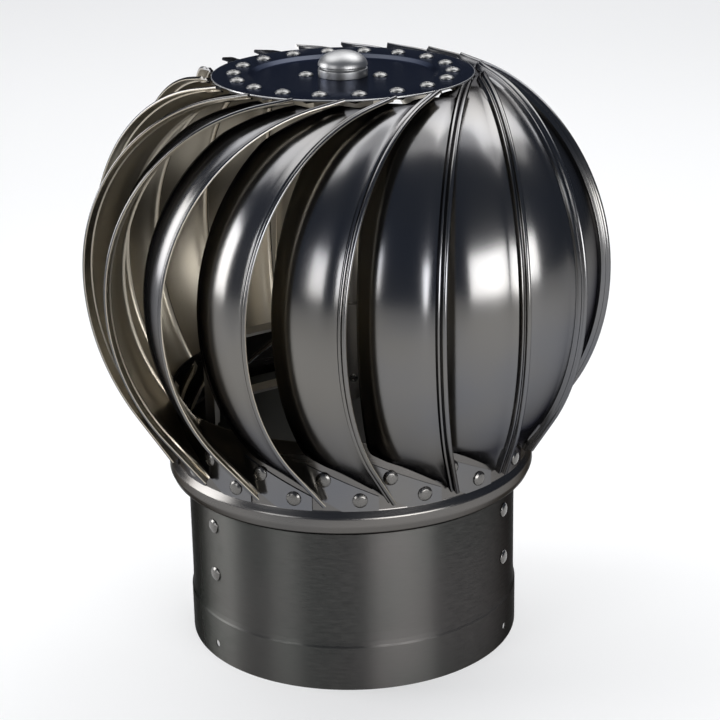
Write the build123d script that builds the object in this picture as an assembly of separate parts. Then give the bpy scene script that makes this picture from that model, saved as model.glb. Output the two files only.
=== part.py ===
from build123d import *
import os
from math import cos, radians, sin

# Roof turbine ventilator for a 150 mm duct, in millimetres.
# +Z is the axis that the rotor turns about, and z = 0 is the lower edge of the neck.

# ---- driving dimensions ----
DUCT = 150.0                      # outer diameter of the duct that the neck slips over
SHEET = 0.6                       # stainless sheet of the vanes and the neck
VANES = 18
FIRST_VANE = -90.0                # azimuth of vane_01

# neck
NECK_R = DUCT / 2                 # outer radius of the neck
NECK_H = 99.0
SOCKET_R = DUCT / 2 + 0.2         # bore of the widened lower end, which goes over the duct
SOCKET_H = 20.0
SOCKET_STEP = 1.0                 # height over which the socket narrows to the neck
SCREW_R = 1.65                    # hole for a 3.2 mm sheet-metal screw into the duct
SCREW_Z = 7.6

# legs, braces, hub and shaft
LEGS = 3
FIRST_LEG = 94.8                  # azimuth of leg_1
STRAP_W = 8.0
STRAP_T = 1.2
STRAP_R = 74.2                    # outer face of a leg, just inside the neck
LEG_FOOT_Z = 34.0
LEG_RIVET_Z = (42.4, 65.7)
LEG_TOP_Z = 152.6                 # top face of the arm that a leg bends into
BRACE_TOP_Z = 125.6
BRACE_FLANGE = 10.0               # length of the brace that is turned down along its leg
HUB_R = 8.0
HUB_LOW_Z = 116.0
HUB_TOP_Z = 156.0
SHAFT_R = 5.0
SHAFT_ROOM = 1.0                  # between the shaft and the hole in the housing's floor
SHAFT_LOW_Z = 110.0
JOURNAL_R = 4.0                   # the shaft narrows to this above its shoulder
RUNNING_GAP = 0.05

# bearing, its housing and the cap
BEARING_R = 11.0
BEARING_H = 7.0
BEARING_Z = 247.0                 # underside of the bearing, on the shaft's shoulder
HOUSING_R = 13.0
HOUSING_FLOOR = 2.0
LUG_SPAN = 42.0                   # the housing's flange is a bar with a rivet at each end
LUG_W = 18.0
LUG_T = 2.0
LUG_TURN = -8.0
LUG_RIVET_R = 16.2
CAP_R = 10.8
CAP_BAND = 4.0
CAP_TOP_R = 8.6
CAP_H = 11.0

# base ring of the rotor
RING_R = 81.0                     # outer radius of its wall, which carries the vanes
RING_T = 0.8
RING_TOP_Z = 119.0
WALL_LOW_Z = 88.0
BEAD_R = 83.5
BEAD_Z = 82.3
RING_LOW_R = 79.6
RING_LOW_Z = 76.4

# top disc of the rotor
DISC_R = 57.0
DISC_TOP_Z = 259.5
DISC_T = 0.8
PAN_R = 41.5                      # radius of the sunk middle
PAN_DEPTH = 1.5
PAN_FLOOR_Z = DISC_TOP_Z - PAN_DEPTH
DISC_RIVET_R = 47.4
DISC_RIVET_TURN = 28.0            # from a vane's own azimuth to the rivet of its upper tab

# vanes: the outer edge lies in a vertical plane that misses the axis by HEM_OFFSET
HEM_OFFSET = 58.5
HEM_TURN = 59.4                   # from a vane's own azimuth to the foot of that plane
EQUATOR_REACH = 101.9             # furthest reach of the outer edge within its plane
EQUATOR_Z = 174.4
CROWN_R = 86.0                    # the edge's arc above the equator
CROWN_TURN = 79.4
CROWN_END = 11.8                  # straight length after that arc
SKIRT_R = 100.0                   # the edge's arc below the equator
SKIRT_TURN = 39.3
SKIRT_END = 25.2
VANE_W = 37.0
TRIM_W = 22.0                     # width that the upper end narrows to
TRIM_REACH = 64.0                 # where it starts to narrow
TAB_REACH = 33.0                  # where the sheet has come down to the disc's underside
NOTCH_START = (18.0, 3.2)         # the notch round the rim runs between these two points,
NOTCH_END = (TAB_REACH, 10.8)     # given as (reach, distance behind the edge plane)
TAB_CORNERS = ((22.0, TRIM_W), (21.0, 14.0))
FOOT_GAP = 0.1                    # between the vane's cut lower end and the ring's wall
FOOT_SIDES = (-14.0, 8.0)         # lower tab, as angles from the vane's own azimuth
FOOT_HIGH_Z = (109.5, 94.5)       # its bend line at those two angles
FOOT_LOW_Z = (98.0, 88.2)         # its lower edge at those two angles
FOOT_RIVETS = ((-8.4, 102.6), (2.4, 93.2))

# rivet heads
RIVET_R = 3.3
RIVET_H = 1.4
RIVET_SIDES = 8
RIVET_TAPER = 40.0

CUT = 20.0                        # length of a cutting body, more than any sheet or bar is thick

os.makedirs("parts", exist_ok=True)


def save(name, shape):
    """Writes one sub-part, named after its node."""
    shape.label = name
    export_step(shape, f"parts/{name}.step")


def turned(*points):
    """A turned part from its half section, as (radius, height) points."""
    return revolve(Plane.XZ * make_face(Polyline(*points, close=True)), Axis.Z)


def radial(azimuth, radius, height):
    """A plane on the side of a cylinder, with its normal outward and its Y axis up."""
    a = radians(azimuth)
    outward = Vector(cos(a), sin(a), 0)
    place = outward * radius + Vector(0, 0, height)
    return Plane(origin=place, x_dir=(-sin(a), cos(a), 0), z_dir=outward)


def level(azimuth, radius, height):
    """A level plane at a place given by its azimuth and radius."""
    a = radians(azimuth)
    return Plane(origin=(radius * cos(a), radius * sin(a), height), z_dir=(0, 0, 1))


def around(count, first):
    """Azimuths of evenly spaced pieces."""
    return [first + i * 360.0 / count for i in range(count)]


LEG_AZIMUTHS = around(LEGS, FIRST_LEG)
VANE_AZIMUTHS = around(VANES, FIRST_VANE)


# ---- neck ----
def neck():
    """A tube whose lower end is widened to slip over the duct, with three screw holes."""
    inner = NECK_R - SHEET
    outer = SOCKET_R + SHEET
    tube = turned(
        (SOCKET_R, 0), (outer, 0), (outer, SOCKET_H), (NECK_R, SOCKET_H + SOCKET_STEP),
        (NECK_R, NECK_H), (inner, NECK_H), (inner, SOCKET_H + SOCKET_STEP), (SOCKET_R, SOCKET_H),
    )
    for azimuth in LEG_AZIMUTHS:
        tube -= radial(azimuth, SOCKET_R, SCREW_Z) * Cylinder(SCREW_R, CUT)
    return tube


# ---- legs, braces, hub and shaft ----
def bent_strap(azimuth, outer, top, low):
    """A strap that stands at one radius and bends into an arm that ends on the hub."""
    inner = outer - STRAP_T
    under = top - STRAP_T
    outline = Polyline(
        (outer, low), (outer, top), (0, top), (0, under), (inner, under), (inner, low), close=True
    )
    side = Plane(origin=(0, 0, 0), x_dir=(1, 0, 0), z_dir=(0, -1, 0)) * make_face(outline)
    strap = extrude(side, STRAP_W / 2, both=True) - Pos(0, 0, top) * Cylinder(HUB_R, CUT)
    return Rot(0, 0, azimuth) * strap


def leg(azimuth):
    return bent_strap(azimuth, STRAP_R, LEG_TOP_Z, LEG_FOOT_Z)


def brace(azimuth):
    return bent_strap(azimuth, STRAP_R - STRAP_T, BRACE_TOP_Z, BRACE_TOP_Z - BRACE_FLANGE)


def hub_tube():
    bore = SHAFT_R + RUNNING_GAP
    return turned((bore, HUB_LOW_Z), (HUB_R, HUB_LOW_Z), (HUB_R, HUB_TOP_Z), (bore, HUB_TOP_Z))


def shaft():
    top = BEARING_Z + BEARING_H
    return turned(
        (0, SHAFT_LOW_Z), (SHAFT_R, SHAFT_LOW_Z), (SHAFT_R, BEARING_Z), (JOURNAL_R, BEARING_Z),
        (JOURNAL_R, top), (0, top),
    )


# ---- bearing, housing and cap ----
def bearing():
    bore = JOURNAL_R + RUNNING_GAP
    low = BEARING_Z + RUNNING_GAP
    top = low + BEARING_H
    return turned((bore, low), (BEARING_R, low), (BEARING_R, top), (bore, top))


def bearing_housing():
    """A cup that hangs under the disc from a bar, with the bearing on its floor ring."""
    top = PAN_FLOOR_Z - DISC_T
    floor = BEARING_Z + RUNNING_GAP
    hole = SHAFT_R + SHAFT_ROOM
    cup = turned(
        (hole, floor - HOUSING_FLOOR), (HOUSING_R, floor - HOUSING_FLOOR), (HOUSING_R, top),
        (BEARING_R, top), (BEARING_R, floor), (hole, floor),
    )
    bar = Pos(0, 0, top - LUG_T / 2) * Rot(0, 0, LUG_TURN) * Box(LUG_SPAN, LUG_W, LUG_T)
    return cup + (bar - Pos(0, 0, top) * Cylinder(BEARING_R, CUT))


def dome_cap():
    band = PAN_FLOOR_Z + CAP_BAND
    top = PAN_FLOOR_Z + CAP_H
    return turned(
        (0, PAN_FLOOR_Z), (CAP_R, PAN_FLOOR_Z), (CAP_R, band),
        (CAP_TOP_R, band), (CAP_TOP_R, top), (0, top),
    )


# ---- ring and disc ----
def base_ring():
    """The wall that carries the vanes, above a rolled bead that turns in under itself."""
    inner = RING_R - RING_T
    lip = RING_LOW_R - RING_T
    return turned(
        (RING_R, RING_TOP_Z), (RING_R, WALL_LOW_Z), (BEAD_R, BEAD_Z), (RING_LOW_R, RING_LOW_Z),
        (lip, RING_LOW_Z), (lip, BEAD_Z), (inner, BEAD_Z), (inner, RING_TOP_Z),
    )


def top_disc():
    """A disc whose middle is sunk like a shallow pan, with a sloped step."""
    under = DISC_TOP_Z - DISC_T
    pan_under = PAN_FLOOR_Z - DISC_T
    step = PAN_R - PAN_DEPTH
    return turned(
        (0, PAN_FLOOR_Z), (step, PAN_FLOOR_Z), (PAN_R, DISC_TOP_Z), (DISC_R, DISC_TOP_Z), (DISC_R, under),
        (PAN_R, under), (step, pan_under), (0, pan_under),
    )


# ---- vane ----
def vane_plane():
    """The plane of a vane's outer edge: X reaches outward, Y is up and Z points to the axis's side."""
    foot = radians(HEM_TURN)
    reach = Vector(sin(foot), -cos(foot), 0)
    away = Vector(cos(foot), sin(foot), 0)
    return Plane(origin=away * HEM_OFFSET, x_dir=reach, z_dir=-away)


def edge_curve(depth):
    """The bent sheet's outline in the edge plane at a depth below the outer face, from its lower end."""
    skirt = CenterArc((EQUATOR_REACH - SKIRT_R, EQUATOR_Z), SKIRT_R - depth, -SKIRT_TURN, SKIRT_TURN)
    crown = CenterArc((EQUATOR_REACH - CROWN_R, EQUATOR_Z), CROWN_R - depth, 0, CROWN_TURN)
    low = Line((skirt @ 0) - (skirt % 0) * SKIRT_END, skirt @ 0)
    high = Line(crown @ 1, (crown @ 1) + (crown % 1) * CROWN_END)
    return Curve() + [low, skirt, crown, high]


def bent_strip(frame):
    """The bent sheet at its full width, before its ends are cut."""
    outer = edge_curve(0)
    inner = edge_curve(SHEET)
    ends = [Line(outer @ 0, inner @ 0), Line(outer @ 1, inner @ 1)]
    return frame * extrude(make_face(outer + inner + ends), VANE_W)


def from_above(frame, points, low, high):
    """An upright prism between two heights, from (reach, distance behind the edge plane) points."""
    plan = Plane(origin=frame.origin, x_dir=frame.x_dir, z_dir=(0, 0, 1))
    outline = Polyline(*[(reach, -behind) for reach, behind in points], close=True)
    return Pos(0, 0, low) * extrude(plan * make_face(outline), high - low)


def lower_tab():
    """The end that is bent down along the ring's wall, where two rivets hold it."""
    middle = sum(FOOT_SIDES) / 2
    reach = [RING_R * radians(side - middle) for side in FOOT_SIDES]
    corners = [
        (reach[0], FOOT_HIGH_Z[0]), (reach[1], FOOT_HIGH_Z[1]), (reach[1], FOOT_LOW_Z[1]),
        (0, FOOT_LOW_Z[1]), (reach[0], FOOT_LOW_Z[0]),
    ]
    outline = radial(middle, 0, 0) * make_face(Polyline(*corners, close=True))
    shell = Cylinder(RING_R + SHEET, RING_TOP_Z, align=(Align.CENTER, Align.CENTER, Align.MIN))
    shell -= Cylinder(RING_R, RING_TOP_Z, align=(Align.CENTER, Align.CENTER, Align.MIN))
    return shell & extrude(outline, 2 * RING_R)


def vane():
    """The vane at azimuth 0."""
    frame = vane_plane()
    tab_top = DISC_TOP_Z - DISC_T
    beyond = VANE_W + CUT
    notch = [
        NOTCH_START, NOTCH_END, (TAB_REACH, TRIM_W), (TRIM_REACH, VANE_W),
        (TRIM_REACH, beyond), (NOTCH_START[0], beyond),
    ]
    strip = bent_strip(frame) - from_above(frame, notch, EQUATOR_Z, DISC_TOP_Z + CUT)
    strip -= Pos(0, 0, RING_TOP_Z / 2) * Cylinder(RING_R + FOOT_GAP, RING_TOP_Z)
    tab = from_above(frame, [NOTCH_END, (TAB_REACH, TRIM_W), *TAB_CORNERS], tab_top - SHEET, tab_top)
    return strip + tab + lower_tab()


# ---- rivets ----
def heads(places):
    """Rivet heads as one group of solids, each standing on a plane's origin."""
    head = extrude(RegularPolygon(RIVET_R, RIVET_SIDES), RIVET_H, taper=RIVET_TAPER)
    return Compound([plane * head for plane in places])


def neck_rivets():
    return heads([radial(a, NECK_R, z) for a in LEG_AZIMUTHS for z in LEG_RIVET_Z])


def ring_rivets():
    face = RING_R + SHEET
    return heads([radial(a + turn, face, z) for a in VANE_AZIMUTHS for turn, z in FOOT_RIVETS])


def disc_rivets():
    return heads([level(a + DISC_RIVET_TURN, DISC_RIVET_R, DISC_TOP_Z) for a in VANE_AZIMUTHS])


def housing_rivets():
    return heads([level(a, LUG_RIVET_R, PAN_FLOOR_Z) for a in around(2, LUG_TURN)])


one_vane = vane()
for i, azimuth in enumerate(VANE_AZIMUTHS):
    save(f"vane_{i + 1:02d}", Rot(0, 0, azimuth) * one_vane)
save("neck", neck())
for i, azimuth in enumerate(LEG_AZIMUTHS):
    save(f"leg_{i + 1}", leg(azimuth))
    save(f"brace_{i + 1}", brace(azimuth))
save("hub_tube", hub_tube())
save("shaft", shaft())
save("bearing", bearing())
save("bearing_housing", bearing_housing())
save("dome_cap", dome_cap())
save("base_ring", base_ring())
save("top_disc", top_disc())
save("neck_rivets", neck_rivets())
save("ring_rivets", ring_rivets())
save("disc_rivets", disc_rivets())
save("housing_rivets", housing_rivets())
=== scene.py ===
from math import cos, hypot, pi, radians, sin, sqrt, tan

import bmesh
import bpy
from mathutils import Matrix, Vector


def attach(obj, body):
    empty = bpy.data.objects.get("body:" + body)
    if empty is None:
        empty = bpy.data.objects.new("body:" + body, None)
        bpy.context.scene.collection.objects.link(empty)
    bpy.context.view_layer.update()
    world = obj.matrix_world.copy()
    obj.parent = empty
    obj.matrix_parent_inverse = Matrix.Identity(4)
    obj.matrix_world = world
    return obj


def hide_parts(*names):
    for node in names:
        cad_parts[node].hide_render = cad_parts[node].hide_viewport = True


# The looks of a roof turbine ventilator, in metres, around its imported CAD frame.
# +Z is the rotor's axis, -Y faces the camera. Angles are in degrees, and piece sizes in millimetres.

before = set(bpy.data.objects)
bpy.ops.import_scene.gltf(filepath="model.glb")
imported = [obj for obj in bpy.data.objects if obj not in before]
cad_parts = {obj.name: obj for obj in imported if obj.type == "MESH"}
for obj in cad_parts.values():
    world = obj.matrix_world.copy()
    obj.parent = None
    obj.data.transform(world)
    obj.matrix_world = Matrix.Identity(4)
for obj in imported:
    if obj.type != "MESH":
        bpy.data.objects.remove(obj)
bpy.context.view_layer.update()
MM = 0.001
UP = Vector((0, 0, 1))

# ---- sizes shared with the CAD ----
VANES = 18
PITCH = 360 / VANES
FIRST_VANE = -90
SHEET = 0.6
HEM_OFFSET = 58.5
HEM_TURN = 59.4
EQUATOR_REACH = 101.9
EQUATOR_Z = 174.4
CROWN_R = 86.0
CROWN_TURN = 79.4
CROWN_END = 11.8
SKIRT_R = 100.0
SKIRT_TURN = 39.3
SKIRT_END = 25.2
VANE_W = 37.0
TRIM_W = 22.0
TRIM_REACH = 64.0
TAB_REACH = 33.0
NOTCH_START = (18.0, 3.2)
NOTCH_END = (33.0, 10.8)
TAB_CORNERS = ((22.0, 22.0), (21.0, 14.0))
FOOT_SIDES = (-14.0, 8.0)
FOOT_HIGH_Z = (109.5, 94.5)
FOOT_LOW_Z = (98.0, 88.2)
FOOT_RIVETS = ((-8.4, 102.6), (2.4, 93.2))
THICK_SHEET = 0.8
RING_R = 81.0
RING_TOP_Z = 119.0
RING_WALL_END_Z = 88.2
DISC_R = 57.0
DISC_TOP_Z = 259.5
PAN_R = 41.5
PAN_SLOPE = 2.2
PAN_Z = DISC_TOP_Z - 1.5
DISC_RIVET_R = 47.4
DISC_RIVET_TURN = 28.0
LUG_TURN = -8.0
LUG_RIVET_R = 16.2
NECK_R = 75.0
NECK_H = 99.0
SOCKET_R = 75.2
SOCKET_H = 20.0
LEG_AZIMUTHS = (94.8, 214.8, 334.8)
LEG_RIVET_Z = (42.4, 65.7)
SCREW_Z = 7.6
SCREW_R = 1.65
HUB_R = 8.0
SET_SCREW_AZIMUTH = -77
SET_SCREW_Z = 121.5

# ---- materials ----
DRIFT_SCALE = 12.0        # the tint drifts over about a twelfth of a metre
DRIFT_BAND = (0.35, 0.65)
STREAK_BAND = (0.3, 0.7)
BUMP_HEIGHT = 0.0001
QUARTER_TURN = 0.25       # turns the highlights along the axis, where steel is brushed round it


def brush(tree, shader, amount):
    """Draws the highlights out along the rotor's axis, as on sheet that is brushed round it."""
    shader.inputs["Anisotropic"].default_value = amount
    shader.inputs["Anisotropic Rotation"].default_value = QUARTER_TURN
    tangent = tree.nodes.new("ShaderNodeTangent")
    tangent.direction_type = "RADIAL"
    tangent.axis = "Z"
    tree.links.new(tangent.outputs["Tangent"], shader.inputs["Tangent"])


def drift(tree, coordinates, shader, colour, tint):
    """A colour that drifts slowly to a second one over the surface."""
    noise = tree.nodes.new("ShaderNodeTexNoise")
    noise.inputs["Scale"].default_value = DRIFT_SCALE
    noise.inputs["Detail"].default_value = 3
    tree.links.new(coordinates.outputs["Object"], noise.inputs["Vector"])
    ramp = tree.nodes.new("ShaderNodeValToRGB")
    for stop, position, shade in zip(ramp.color_ramp.elements, DRIFT_BAND, (colour, tint)):
        stop.position = position
        stop.color = (*shade, 1)
    tree.links.new(noise.outputs["Fac"], ramp.inputs["Fac"])
    tree.links.new(ramp.outputs["Color"], shader.inputs["Base Color"])


def streaks(tree, coordinates, shader, roughness, mottle, grain, depth):
    """A fine grain, seen in the gloss and as a very shallow relief."""
    stretch = tree.nodes.new("ShaderNodeMapping")
    stretch.inputs["Scale"].default_value = grain
    tree.links.new(coordinates.outputs["UV"], stretch.inputs["Vector"])
    noise = tree.nodes.new("ShaderNodeTexNoise")
    noise.inputs["Scale"].default_value = 1.0
    noise.inputs["Detail"].default_value = 4
    noise.inputs["Roughness"].default_value = 0.65
    tree.links.new(stretch.outputs["Vector"], noise.inputs["Vector"])
    gloss = tree.nodes.new("ShaderNodeMapRange")
    gloss.inputs["From Min"].default_value = STREAK_BAND[0]
    gloss.inputs["From Max"].default_value = STREAK_BAND[1]
    gloss.inputs["To Min"].default_value = roughness * (1 - mottle)
    gloss.inputs["To Max"].default_value = roughness * (1 + mottle)
    tree.links.new(noise.outputs["Fac"], gloss.inputs["Value"])
    tree.links.new(gloss.outputs["Result"], shader.inputs["Roughness"])
    bump = tree.nodes.new("ShaderNodeBump")
    bump.inputs["Strength"].default_value = depth
    bump.inputs["Distance"].default_value = BUMP_HEIGHT
    tree.links.new(noise.outputs["Fac"], bump.inputs["Height"])
    tree.links.new(bump.outputs["Normal"], shader.inputs["Normal"])


def steel(name, colour, tint, roughness, grain, depth, mottle=0.2, brushed=0.0, edge=None):
    """Steel whose colour drifts to a tint, with a grain of this scale along U, V and W.

    U runs along a vane or round a turned piece, and V across it. The edge is the colour of a grazing view.
    """
    material = bpy.data.materials.new(name)
    material.use_nodes = True
    tree = material.node_tree
    tree.nodes.clear()
    output = tree.nodes.new("ShaderNodeOutputMaterial")
    shader = tree.nodes.new("ShaderNodeBsdfPrincipled")
    tree.links.new(shader.outputs[0], output.inputs[0])
    shader.inputs["Metallic"].default_value = 1.0
    if brushed:
        brush(tree, shader, brushed)
    if edge:
        shader.inputs["Specular Tint"].default_value = (*edge, 1)
    coordinates = tree.nodes.new("ShaderNodeTexCoord")
    drift(tree, coordinates, shader, colour, tint)
    streaks(tree, coordinates, shader, roughness, mottle, grain, depth)
    return material


VANE_STEEL = steel(
    "vane_steel", colour=(0.142, 0.1445, 0.155), tint=(0.168, 0.161, 0.15), roughness=0.2,
    grain=(1500, 1500, 1), depth=0.075, mottle=0.08, brushed=0.4, edge=(0.15, 0.15, 0.16))
# The vanes' inner side: a warm tint that the sheet has, and painted light, since its colour is set far
# brighter than the outer side's to stand in for light inside the globe.
INNER_TINT_AND_PAINTED_LIGHT_STEEL = steel(
    "vane_inner_tint_and_painted_light", colour=(0.37, 0.342, 0.286), tint=(0.45, 0.402, 0.322), roughness=0.3,
    grain=(1800, 1800, 1), depth=0.02, mottle=0.1)
NECK_STEEL = steel(
    "neck_steel", colour=(0.08, 0.082, 0.077), tint=(0.094, 0.089, 0.086), roughness=0.4,
    grain=(40, 900, 1), depth=0.03, brushed=0.95, edge=(0.25, 0.25, 0.25))
RING_STEEL = steel(
    "ring_steel", colour=(0.13, 0.126, 0.122), tint=(0.163, 0.153, 0.143), roughness=0.25,
    grain=(4, 200, 1), depth=0.04, edge=(0.2, 0.2, 0.2))
DISC_STEEL = steel(
    "disc_steel", colour=(0.03, 0.033, 0.042), tint=(0.038, 0.041, 0.05), roughness=0.24,
    grain=(1800, 1800, 1), depth=0.02, edge=(0.45, 0.47, 0.54))
EDGE_STEEL = steel(
    "bare_edge_steel", colour=(0.42, 0.42, 0.42), tint=(0.34, 0.34, 0.34), roughness=0.35,
    grain=(60, 60, 1), depth=0.03)
RIVET_STEEL = steel(
    "rivet_steel", colour=(0.14, 0.136, 0.13), tint=(0.18, 0.173, 0.165), roughness=0.27,
    grain=(6, 6, 1), depth=0.05)
BLIND_STEEL = steel(
    "blind_rivet_steel", colour=(0.18, 0.18, 0.176), tint=(0.235, 0.23, 0.222), roughness=0.33,
    grain=(6, 6, 1), depth=0.05)
CAP_STEEL = steel(
    "cap_steel", colour=(0.34, 0.34, 0.34), tint=(0.28, 0.28, 0.28), roughness=0.42,
    grain=(60, 1, 1), depth=0.03)
STRAP_STEEL = steel(
    "strap_steel", colour=(0.28, 0.266, 0.252), tint=(0.26, 0.25, 0.23), roughness=0.38,
    grain=(20, 20, 1), depth=0.08)

# ---- mesh helpers ----
SHARP = 40                # edges that turn more than this stay crisp


def piece(name, verts, faces, uvs, body, materials, face_materials=None):
    """A mesh object with one UV per vertex, that rides on a body."""
    mesh = bpy.data.meshes.new(name)
    mesh.from_pydata(verts, [], faces)
    layer = mesh.uv_layers.new(name="UVMap")
    for loop in mesh.loops:
        layer.data[loop.index].uv = uvs[loop.vertex_index]
    for material in materials:
        mesh.materials.append(material)
    for i, polygon in enumerate(mesh.polygons):
        polygon.use_smooth = True
        if face_materials:
            polygon.material_index = face_materials[i]
    mesh.set_sharp_from_angle(angle=radians(SHARP))
    obj = bpy.data.objects.new(name, mesh)
    bpy.context.scene.collection.objects.link(obj)
    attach(obj, body)
    return obj


def rounded(points, closed=True, steps=5):
    """An outline in which each corner given as (x, y, radius) becomes an arc."""
    out = []
    last = len(points) - 1
    for i, (x, y, radius) in enumerate(points):
        here = Vector((x, y))
        if radius <= 0 or (not closed and i in (0, last)):
            out.append(here)
            continue
        before = Vector(points[i - 1][:2]) - here
        after = Vector(points[(i + 1) % len(points)][:2]) - here
        half = before.angle(after) / 2
        slope = max(1e-6, abs(sin(half) / cos(half)))
        cut = min(radius / slope, 0.49 * before.length, 0.49 * after.length)
        start = here + before.normalized() * cut
        end = here + after.normalized() * cut
        for k in range(steps + 1):
            t = k / steps
            out.append(start * (1 - t) ** 2 + here * 2 * t * (1 - t) + end * t ** 2)
    return out


def lathe(name, outline, body, material, segments=192):
    """A turned piece from a closed outline of (radius, height, corner radius)."""
    points = rounded(outline)
    run = [0.0]
    for a, b in zip(points, points[1:] + points[:1]):
        run.append(run[-1] + (b - a).length)
    verts, uvs, faces = [], [], []
    count = len(points)
    for i in range(segments):
        angle = 2 * pi * i / segments
        for j, p in enumerate(points):
            verts.append((p.x * MM * cos(angle), p.x * MM * sin(angle), p.y * MM))
            uvs.append((min(i, segments - i) / segments * 2, run[j] * MM))
    for i in range(segments):
        after = (i + 1) % segments
        for j in range(count):
            up = (j + 1) % count
            faces.append((i * count + j, after * count + j, after * count + up, i * count + up))
    return piece(name, verts, faces, uvs, body, [material])


def domed(name, places, outline, body, material, segments=24):
    """Turned heads from an open outline of (radius, height, corner radius), one at each (origin, axis)."""
    points = rounded(outline, closed=False, steps=4)
    count = len(points)
    verts, uvs, faces = [], [], []
    for origin, axis in places:
        turn = UP.rotation_difference(axis).to_matrix()
        base = len(verts)
        for i in range(segments):
            angle = 2 * pi * i / segments
            for p in points:
                local = Vector((p.x * cos(angle), p.x * sin(angle), p.y)) * MM
                verts.append(origin + turn @ local)
                uvs.append((i / segments, p.x * MM))
        for i in range(segments):
            here = base + i * count
            after = base + (i + 1) % segments * count
            for j in range(count - 1):
                faces.append((here + j, after + j, after + j + 1, here + j + 1))
        faces.append([base + i * count for i in reversed(range(segments))])
        faces.append([base + i * count + count - 1 for i in range(segments)])
    return piece(name, verts, faces, uvs, body, [material])


def at(azimuth, radius, height):
    """A point in metres, from an azimuth and sizes in millimetres."""
    a = radians(azimuth)
    return Vector((radius * cos(a), radius * sin(a), height)) * MM


def radial(azimuth):
    """The level direction away from the axis at this azimuth."""
    return at(azimuth, 1, 0).normalized()


# ---- vanes ----
FOOT = radians(HEM_TURN)
REACH = Vector((sin(FOOT), -cos(FOOT), 0))
AWAY = Vector((cos(FOOT), sin(FOOT), 0))
SKIRT_STEPS = 8
LOWER_STEPS = 16
CROWN_STEPS = 32
END_STEPS = 5


def stations():
    """Points along the outer edge in its own plane, from the lower tip.

    Each is (reach, height, angle of the outward normal).
    """
    out = []
    low = -radians(SKIRT_TURN)
    lower_middle = EQUATOR_REACH - SKIRT_R
    start = (lower_middle + SKIRT_R * cos(low), EQUATOR_Z + SKIRT_R * sin(low))
    for k in range(SKIRT_STEPS):
        back = SKIRT_END * (1 - k / SKIRT_STEPS)
        out.append((start[0] + back * sin(low), start[1] - back * cos(low), low))
    for k in range(LOWER_STEPS):
        a = low * (1 - k / LOWER_STEPS)
        out.append((lower_middle + SKIRT_R * cos(a), EQUATOR_Z + SKIRT_R * sin(a), a))
    high = radians(CROWN_TURN)
    for k in range(CROWN_STEPS + 1):
        a = high * k / CROWN_STEPS
        out.append((EQUATOR_REACH - CROWN_R + CROWN_R * cos(a), EQUATOR_Z + CROWN_R * sin(a), a))
    end = out[-1]
    for k in range(1, END_STEPS + 1):
        on = CROWN_END * k / END_STEPS
        out.append((end[0] - on * sin(high), end[1] + on * cos(high), high))
    return out


def strip_width(reach, height):
    """Width of the vane behind its outer edge at one station."""
    if height < RING_TOP_Z:
        wall = RING_R + 0.25
        if reach >= wall:
            return VANE_W
        return min(VANE_W, HEM_OFFSET - sqrt(wall ** 2 - reach ** 2))
    if height < EQUATOR_Z or reach > TRIM_REACH:
        return VANE_W
    if reach > TAB_REACH:
        return TRIM_W + (VANE_W - TRIM_W) * (reach - TAB_REACH) / (TRIM_REACH - TAB_REACH)
    share = (reach - NOTCH_START[0]) / (NOTCH_END[0] - NOTCH_START[0])
    return NOTCH_START[1] + (NOTCH_END[1] - NOTCH_START[1]) * share


# Cross-section of the hem, as (distance from the edge, depth below the crest):
# a rolled edge, a groove and a second ridge.
HEM = [
    (0.0, 0.9), (0.12, 0.42), (0.5, 0.1), (1.05, 0.0), (1.6, 0.16), (2.0, 0.6), (2.3, 1.15),
    (2.6, 1.3), (2.9, 1.05), (3.3, 0.72), (3.7, 0.72), (4.1, 1.1), (4.5, 1.65), (4.9, 2.1),
]
HEM_BACK = 1.3            # depth of the hem's folded back at the edge
HEM_BACK_SLOPE = 0.9      # how much deeper it lies where the face starts
HEM_BACK_START = 0.05
FACE_EDGE = 2.7           # depth of the face beside the hem and beside the lip
CROWN = 2.7               # how far the middle of the face stands out of that
CROWN_POWER = 2.5
FLAT_W = 12               # width below which a vane has no crown and no lip
HEM_LEAST_W = 0.8
HEM_FULL_W = 6.4          # width from which the hem has its full size
LIP_W = 2.8               # width of the rounded inner edge
LIP_DROP = 2.4            # how far it turns in
LIP_CREEP = 0.02          # keeps its points apart where the lip has no size
FACE_STEPS = 16
LIP_STEPS = 5


def section(width):
    """Cross-section at one station, as (distance behind the edge, depth), from the edge to the inner side."""
    full = max(0.0, min(1.0, (width - FLAT_W) / (VANE_W - FLAT_W)))
    squeeze = min(1.0, (width - HEM_LEAST_W) / (HEM_FULL_W - HEM_LEAST_W))
    points = [(w * squeeze, d) for w, d in HEM]
    start = points[-1][0]
    lip = LIP_W * full
    end = width - lip
    for k in range(1, FACE_STEPS + 1):
        t = k / FACE_STEPS
        bulge = CROWN * full * (1 - abs(2 * t - 1) ** CROWN_POWER)
        points.append((start + (end - start) * t, FACE_EDGE - bulge))
    for k in range(1, LIP_STEPS + 1):
        a = k / LIP_STEPS * pi / 2
        points.append((end + lip * sin(a), FACE_EDGE + LIP_DROP * full * (1 - cos(a)) + LIP_CREEP * k))
    return points


def skin_loop(profile):
    """A cross-section's outer side, followed by its inner side back to the edge."""
    loop = list(profile)
    for k in reversed(range(len(profile))):
        w, d = profile[k]
        if k < len(HEM) - 1:
            loop.append((max(w, HEM_BACK_START), HEM_BACK + HEM_BACK_SLOPE * k / len(HEM)))
            continue
        before = profile[k - 1]
        after = profile[min(len(profile) - 1, k + 1)]
        tangent = Vector((after[0] - before[0], after[1] - before[1])).normalized()
        loop.append((w - tangent.y * SHEET, d + tangent.x * SHEET))
    return loop


OUTER, INNER = 0, 1       # material indices of a vane's two sides


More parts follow.
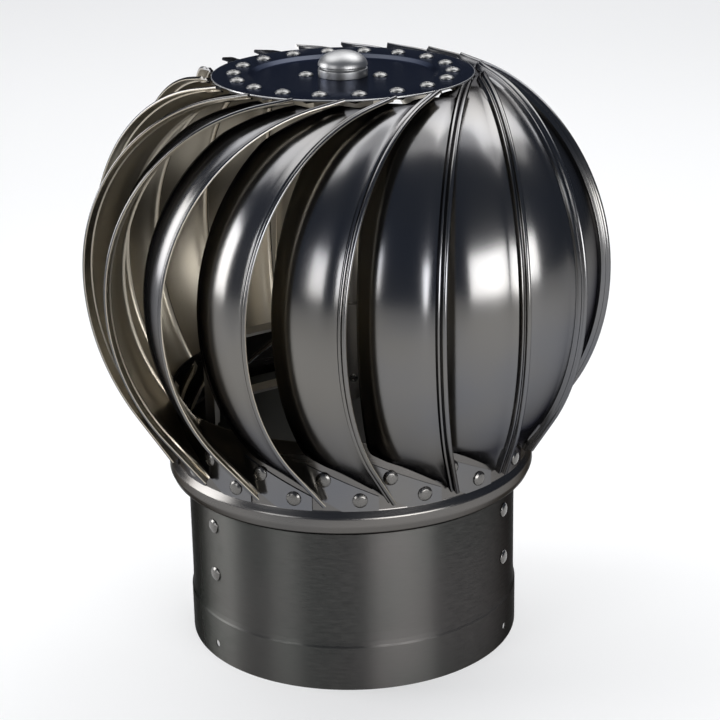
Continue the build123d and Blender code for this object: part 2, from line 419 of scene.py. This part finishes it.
def vane_mesh_data():
    """The vane at azimuth 0 without its tabs: a closed skin over the outer and inner side of the sheet."""
    verts, uvs, faces, kinds = [], [], [], []
    rows = stations()
    run = 0.0
    for i, (reach, height, a) in enumerate(rows):
        if i:
            run += hypot(reach - rows[i - 1][0], height - rows[i - 1][1])
        loop = skin_loop(section(strip_width(reach, height)))
        for w, d in loop:
            side = AWAY * (HEM_OFFSET - w) + REACH * (reach - d * cos(a))
            verts.append((side + UP * (height - d * sin(a))) * MM)
            uvs.append((run * MM, w * MM))
    ring = len(loop)
    half = ring // 2
    for i in range(len(rows) - 1):
        for j in range(ring):
            k = (j + 1) % ring
            faces.append((i * ring + j, i * ring + k, (i + 1) * ring + k, (i + 1) * ring + j))
            kinds.append(OUTER if j < half else INNER)
    last = (len(rows) - 1) * ring
    for j in range(half - 1):
        faces.append((j, ring - 1 - j, ring - 2 - j, j + 1))
        faces.append((last + j, last + j + 1, last + ring - 2 - j, last + ring - 1 - j))
        kinds += [OUTER, OUTER]
    return verts, uvs, faces, kinds


def add_sheet(data, outer, inner):
    """Adds a closed sheet from two equal grids of points, each a list of rows."""
    verts, uvs, faces, kinds = data
    base = len(verts)
    rows, columns = len(outer), len(outer[0])
    for grid in (outer, inner):
        for row in grid:
            for p in row:
                verts.append(p * MM)
                uvs.append((p.z * MM, (p.x + p.y) * MM))
    under = base + rows * columns

    def corner(i, j, first=base):
        return first + i * columns + j

    for i in range(rows - 1):
        for j in range(columns - 1):
            around = ((i, j), (i, j + 1), (i + 1, j + 1), (i + 1, j))
            faces.append([corner(*c) for c in around])
            faces.append([corner(*around[k], under) for k in (0, 3, 2, 1)])
            kinds += [OUTER, INNER]
    border = [(0, j) for j in range(columns)]
    border += [(i, columns - 1) for i in range(1, rows)]
    border += [(rows - 1, j) for j in reversed(range(columns - 1))]
    border += [(i, 0) for i in reversed(range(1, rows - 1))]
    for a, b in zip(border, border[1:] + border[:1]):
        faces.append((corner(*a), corner(*a, under), corner(*b, under), corner(*b)))
        kinds.append(OUTER)


TAB_ROWS = 4
TAB_COLUMNS = 12


def add_lower_tab(data):
    """The end that is bent down along the ring's wall."""
    grids = []
    for radius in (RING_R + SHEET, RING_R + 0.05):
        rows = []
        for k in range(TAB_ROWS + 1):
            row = []
            for j in range(TAB_COLUMNS + 1):
                t = j / TAB_COLUMNS
                turn = radians(FOOT_SIDES[0] + (FOOT_SIDES[1] - FOOT_SIDES[0]) * t)
                high = FOOT_HIGH_Z[0] + (FOOT_HIGH_Z[1] - FOOT_HIGH_Z[0]) * t
                low = FOOT_LOW_Z[0] + (FOOT_LOW_Z[1] - FOOT_LOW_Z[0]) * min(1.0, 2 * t)
                height = high + (low - high) * k / TAB_ROWS
                row.append(Vector((radius * cos(turn), radius * sin(turn), height)))
            rows.append(row)
        grids.append(rows)
    add_sheet(data, *grids)


def add_upper_tab(data):
    """The end that is bent flat under the disc."""
    corners = [NOTCH_END, (TAB_REACH, TRIM_W), TAB_CORNERS[0], TAB_CORNERS[1]]
    top = DISC_TOP_Z - THICK_SHEET
    grids = []
    for height in (top, top - SHEET):
        a, b, c, d = [AWAY * (HEM_OFFSET - w) + REACH * reach + UP * height for reach, w in corners]
        grids.append([[a, b], [d, c]])
    add_sheet(data, *grids)


def turned_outward(data):
    """The data with every face's normal outward."""
    verts, uvs, faces, kinds = data
    mesh = bmesh.new()
    points = [mesh.verts.new(v) for v in verts]
    made = [mesh.faces.new([points[k] for k in face]) for face in faces]
    mesh.faces.index_update()
    bmesh.ops.recalc_face_normals(mesh, faces=made)
    mesh.verts.index_update()
    turned = [[v.index for v in face.verts] for face in made]
    mesh.free()
    return verts, uvs, turned, kinds


def vanes():
    data = vane_mesh_data()
    add_lower_tab(data)
    add_upper_tab(data)
    verts, uvs, faces, kinds = turned_outward(data)
    for i in range(VANES):
        turn = Matrix.Rotation(radians(FIRST_VANE + i * PITCH), 3, "Z")
        # The inner sides take the warm steel that is brightened as painted light inside the globe.
        skin = piece(f"vane_skin_{i + 1:02d}", [turn @ v for v in verts], faces, uvs, "rotor",
                     [VANE_STEEL, INNER_TINT_AND_PAINTED_LIGHT_STEEL], kinds)
        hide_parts(f"vane_{i + 1:02d}")


# ---- turned pieces ----
AXIS_R = 0.01             # stands for the axis, so that a flat face keeps its middle
CUTTER_LENGTH = 8.0


def cut_screw_holes(skin):
    """Cuts the three holes of the duct screws through the socket."""
    places = [(at(a, SOCKET_R - CUTTER_LENGTH / 2, SCREW_Z), radial(a)) for a in LEG_AZIMUTHS]
    outline = [(SCREW_R, 0.0, 0), (SCREW_R, CUTTER_LENGTH, 0)]
    cutters = domed("screw_cutters", places, outline, "base", NECK_STEEL)
    cut = skin.modifiers.new("screw_holes", "BOOLEAN")
    cut.operation = "DIFFERENCE"
    cut.solver = "EXACT"
    cut.object = cutters
    holed = bpy.data.meshes.new_from_object(skin.evaluated_get(bpy.context.evaluated_depsgraph_get()))
    skin.modifiers.clear()
    holed.set_sharp_from_angle(angle=radians(SHARP))
    skin.data = holed
    bpy.data.objects.remove(cutters)


def neck():
    inner = NECK_R - SHEET
    socket = SOCKET_R + SHEET
    skin = lathe("neck_skin", [
        (SOCKET_R, 0.0, 0.1), (socket, 0.0, 0.25), (socket, SOCKET_H + 0.4, 0.15),
        (NECK_R + 0.4, SOCKET_H + 1.3, 1.0), (NECK_R + 0.16, SOCKET_H + 3.2, 2.0),
        (NECK_R, SOCKET_H + 7.5, 3.5), (NECK_R, NECK_H, 0.2), (inner, NECK_H, 0.2),
        (inner, SOCKET_H + 1.0, 0.3), (SOCKET_R, SOCKET_H, 0.3),
    ], "base", NECK_STEEL, segments=256)
    cut_screw_holes(skin)
    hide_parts("neck")


def base_ring():
    """A wall with an outward bead below it and an inward lip."""
    inner = RING_R - THICK_SHEET
    ring = lathe("ring_skin", [
        (RING_R, RING_TOP_Z, 0.35), (RING_R, RING_WALL_END_Z, 1.5), (83.1, 85.2, 2.2), (83.4, 81.6, 3.0),
        (81.9, 78.2, 2.5), (79.6, 76.4, 0.5), (78.9, 76.9, 0.3), (81.0, 79.2, 1.5),
        (82.4, 82.3, 2.0), (80.4, 87.0, 1.5), (inner, RING_TOP_Z, 0.3),
    ], "rotor", RING_STEEL, segments=256)
    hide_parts("base_ring")


def top_disc():
    """A disc with a sunk middle and a bare cut edge."""
    under = DISC_TOP_Z - THICK_SHEET
    pan_edge = PAN_R - PAN_SLOPE
    disc = lathe("disc_skin", [
        (AXIS_R, PAN_Z, 0), (pan_edge, PAN_Z, 1.2), (PAN_R, DISC_TOP_Z, 1.2), (DISC_R, DISC_TOP_Z, 0.3),
        (DISC_R, under, 0.3), (PAN_R, under, 1.0), (pan_edge, PAN_Z - THICK_SHEET, 1.0),
        (AXIS_R, PAN_Z - THICK_SHEET, 0),
    ], "rotor", DISC_STEEL)
    disc.data.materials.append(EDGE_STEEL)
    for face in disc.data.polygons:
        if hypot(face.center.x, face.center.y) > (DISC_R - 0.3) * MM:
            face.material_index = 1
    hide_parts("top_disc")


def dome_cap():
    """A low flange, a groove and a dome."""
    flange_r, dome_rise = 10.8, 6.2
    spring = PAN_Z + 4.8
    dome = []
    for turn in range(0, 85, 7):
        dome.append((flange_r * cos(radians(turn)), spring + dome_rise * sin(radians(turn)), 0))
    cap = lathe("cap_skin", [
        (AXIS_R, PAN_Z, 0), (flange_r, PAN_Z, 0.2), (flange_r, PAN_Z + 3.4, 0.5), (9.8, PAN_Z + 3.7, 0.2),
        (9.8, PAN_Z + 4.4, 0.2), *dome, (AXIS_R, spring + dome_rise, 0),
    ], "rotor", CAP_STEEL, segments=96)
    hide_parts("dome_cap")


# ---- rivets and screw ----
BLIND_HEAD = [
    (3.3, 0.0, 0), (3.3, 0.35, 0.3), (2.6, 1.0, 0.8), (1.5, 1.38, 0.3), (1.05, 1.3, 0.2),
    (0.95, 0.5, 0.1), (0.2, 0.45, 0),
]
ROUND_HEAD = [(3.3, 0.0, 0), (3.25, 0.5, 0.5), (2.2, 1.2, 1.0), (0.9, 1.38, 0.4), (0.15, 1.4, 0)]
SCREW_HEAD = [(1.9, 0.0, 0), (1.9, 0.9, 0.2), (1.05, 1.0, 0.1), (0.95, 0.3, 0.1), (0.1, 0.3, 0)]


def disc_rivets():
    places = []
    for i in range(VANES):
        places.append((at(FIRST_VANE + i * PITCH + DISC_RIVET_TURN, DISC_RIVET_R, DISC_TOP_Z), UP))
    heads = domed("disc_rivet_heads", places, BLIND_HEAD, "rotor", BLIND_STEEL)
    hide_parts("disc_rivets")


def housing_rivets():
    places = [(at(LUG_TURN + turn, LUG_RIVET_R, PAN_Z), UP) for turn in (0, 180)]
    heads = domed("housing_rivet_heads", places, BLIND_HEAD, "rotor", BLIND_STEEL)
    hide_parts("housing_rivets")


def ring_rivets():
    places = []
    for i in range(VANES):
        for turn, z in FOOT_RIVETS:
            azimuth = FIRST_VANE + i * PITCH + turn
            places.append((at(azimuth, RING_R + SHEET, z), radial(azimuth)))
    heads = domed("ring_rivet_heads", places, ROUND_HEAD, "rotor", RIVET_STEEL)
    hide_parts("ring_rivets")


def neck_rivets():
    places = []
    for azimuth in LEG_AZIMUTHS:
        for z in LEG_RIVET_Z:
            places.append((at(azimuth, NECK_R, z), radial(azimuth)))
    heads = domed("neck_rivet_heads", places, ROUND_HEAD, "base", RIVET_STEEL)
    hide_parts("neck_rivets")


def set_screw():
    """The screw that holds the shaft in the hub."""
    place = (at(SET_SCREW_AZIMUTH, HUB_R - 0.1, SET_SCREW_Z), radial(SET_SCREW_AZIMUTH))
    domed("hub_set_screw", [place], SCREW_HEAD, "base", RIVET_STEEL)


def carried_nodes():
    """Gives strap steel to the CAD nodes that show themselves."""
    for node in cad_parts.values():
        if node.hide_render:
            continue
        node.data.materials.clear()
        node.data.materials.append(STRAP_STEEL)


# ---- floor, light and camera, in metres ----
FLOOR = 6.0               # half the floor's width
FLOOR_COLOUR = (0.85, 0.85, 0.85)
WHITE_SHARE = 0.5         # share of plain white mixed into the floor where it is seen or mirrored
WORLD_COLOUR = (0.08, 0.095, 0.13)
GLOBE_MIDDLE = Vector((0, 0, 0.17))
GRID_SPREAD = 100         # angle that a softbox's light stays within
CEILING_SIZE = (2.7, 3.0)
CEILING_PLACE = (0.09, 1.4, 1.75)
CEILING_RADIANCE = 1.45
CAMERA_PLACE = (0, -0.86506, 0.43544)
CAMERA_YAW = 0.33
CAMERA_PITCH = 19.615
CAMERA_ROLL = -1.113
LENS = 101.06
SENSOR_W = 36


def maximum(tree, first, second):
    """The larger of two values, as a node's output."""
    node = tree.nodes.new("ShaderNodeMath")
    node.operation = "MAXIMUM"
    tree.links.new(first, node.inputs[0])
    tree.links.new(second, node.inputs[1])
    return node.outputs[0]


def pale_floor_material():
    """Plain pale paint, with a share of plain white wherever the camera, metal or glass shows it."""
    material = bpy.data.materials.new("floor_pale")
    material.use_nodes = True
    tree = material.node_tree
    tree.nodes.clear()
    output = tree.nodes.new("ShaderNodeOutputMaterial")
    diffuse = tree.nodes.new("ShaderNodeBsdfDiffuse")
    diffuse.inputs["Color"].default_value = (*FLOOR_COLOUR, 1)
    path = tree.nodes.new("ShaderNodeLightPath").outputs
    seen = maximum(tree, path["Is Camera Ray"], path["Is Glossy Ray"])
    seen = maximum(tree, seen, path["Is Transmission Ray"])
    share = tree.nodes.new("ShaderNodeMath")
    share.operation = "MULTIPLY"
    share.inputs[1].default_value = WHITE_SHARE
    tree.links.new(seen, share.inputs[0])
    white = tree.nodes.new("ShaderNodeEmission")
    white.inputs["Color"].default_value = (1, 1, 1, 1)
    white.inputs["Strength"].default_value = 1.0
    mix = tree.nodes.new("ShaderNodeMixShader")
    tree.links.new(share.outputs[0], mix.inputs[0])
    tree.links.new(diffuse.outputs[0], mix.inputs[1])
    tree.links.new(white.outputs[0], mix.inputs[2])
    tree.links.new(mix.outputs[0], output.inputs[0])
    return material


def floor():
    """A plain pale floor that is also the white background, and keeps the object's shadow."""
    mesh = bpy.data.meshes.new("floor")
    corners = [(-FLOOR, -FLOOR, 0), (FLOOR, -FLOOR, 0), (FLOOR, FLOOR, 0), (-FLOOR, FLOOR, 0)]
    mesh.from_pydata(corners, [], [(0, 1, 2, 3)])
    mesh.materials.append(pale_floor_material())
    obj = bpy.data.objects.new("floor", mesh)
    bpy.context.scene.collection.objects.link(obj)


def panel(name, width, height):
    """A rectangular lamp that the camera doesn't see."""
    data = bpy.data.lights.new(name, "AREA")
    data.shape = "RECTANGLE"
    data.size = width
    data.size_y = height
    lamp = bpy.data.objects.new(name, data)
    lamp.visible_camera = False
    bpy.context.scene.collection.objects.link(lamp)
    return lamp


def softbox(name, azimuth, elevation, distance, half_width, half_height, radiance):
    """A panel with a grid, that faces the globe's middle and spans twice these angles as seen from there."""
    width = 2 * distance * tan(radians(half_width))
    height = 2 * distance * tan(radians(half_height))
    lamp = panel(name, width, height)
    half = radians(GRID_SPREAD) / 2
    lamp.data.spread = 2 * half
    gain = tan(half) / (tan(half) - half)
    lamp.data.energy = radiance * pi * width * height / gain
    a, e = radians(azimuth), radians(elevation)
    direction = Vector((cos(a) * cos(e), sin(a) * cos(e), sin(e)))
    lamp.location = GLOBE_MIDDLE + direction * distance
    lamp.rotation_euler = direction.to_track_quat("Z", "Y").to_euler()


def ceiling_panel():
    """A wide panel overhead, a little behind the object."""
    width, height = CEILING_SIZE
    lamp = panel("ceiling_panel", width, height)
    lamp.data.energy = CEILING_RADIANCE * pi * width * height
    lamp.location = CEILING_PLACE


def light():
    world = bpy.data.worlds.new("studio")
    world.use_nodes = True
    background = world.node_tree.nodes["Background"]
    background.inputs["Color"].default_value = (*WORLD_COLOUR, 1)
    background.inputs["Strength"].default_value = 1.0
    bpy.context.scene.world = world
    ceiling_panel()
    softbox("softbox_top", azimuth=50, elevation=58, distance=1.7,
            half_width=20, half_height=15, radiance=4)
    softbox("softbox_left", azimuth=171, elevation=12, distance=1.0,
            half_width=15, half_height=14.5, radiance=9.5)
    softbox("softbox_left_high", azimuth=140, elevation=57, distance=2.5,
            half_width=18, half_height=18, radiance=2.4)
    softbox("softbox_front", azimuth=-58, elevation=10, distance=1.0,
            half_width=21, half_height=11.5, radiance=9.5)
    softbox("softbox_front_left", azimuth=-137, elevation=16, distance=2.5,
            half_width=10, half_height=11, radiance=5.5)


def camera():
    """The camera of the reference view: pitched down, nearly square on, with a slight roll."""
    data = bpy.data.cameras.new("camera")
    data.sensor_width = SENSOR_W
    data.lens = LENS
    obj = bpy.data.objects.new("camera", data)
    yaw, pitch, roll = radians(CAMERA_YAW), radians(CAMERA_PITCH), radians(CAMERA_ROLL)
    forward = Vector((sin(yaw) * cos(pitch), cos(yaw) * cos(pitch), -sin(pitch)))
    right = Vector((cos(yaw), -sin(yaw), 0))
    up = right.cross(forward)
    x = right * cos(roll) + up * sin(roll)
    y = -right * sin(roll) + up * cos(roll)
    basis = Matrix((x, y, -forward)).transposed()
    obj.matrix_world = Matrix.Translation(CAMERA_PLACE) @ basis.to_4x4()
    bpy.context.scene.collection.objects.link(obj)
    bpy.context.scene.camera = obj


vanes()
neck()
base_ring()
top_disc()
dome_cap()
disc_rivets()
housing_rivets()
ring_rivets()
neck_rivets()
set_screw()
carried_nodes()
floor()
light()
camera()
bpy.context.scene.view_settings.view_transform = "Standard"
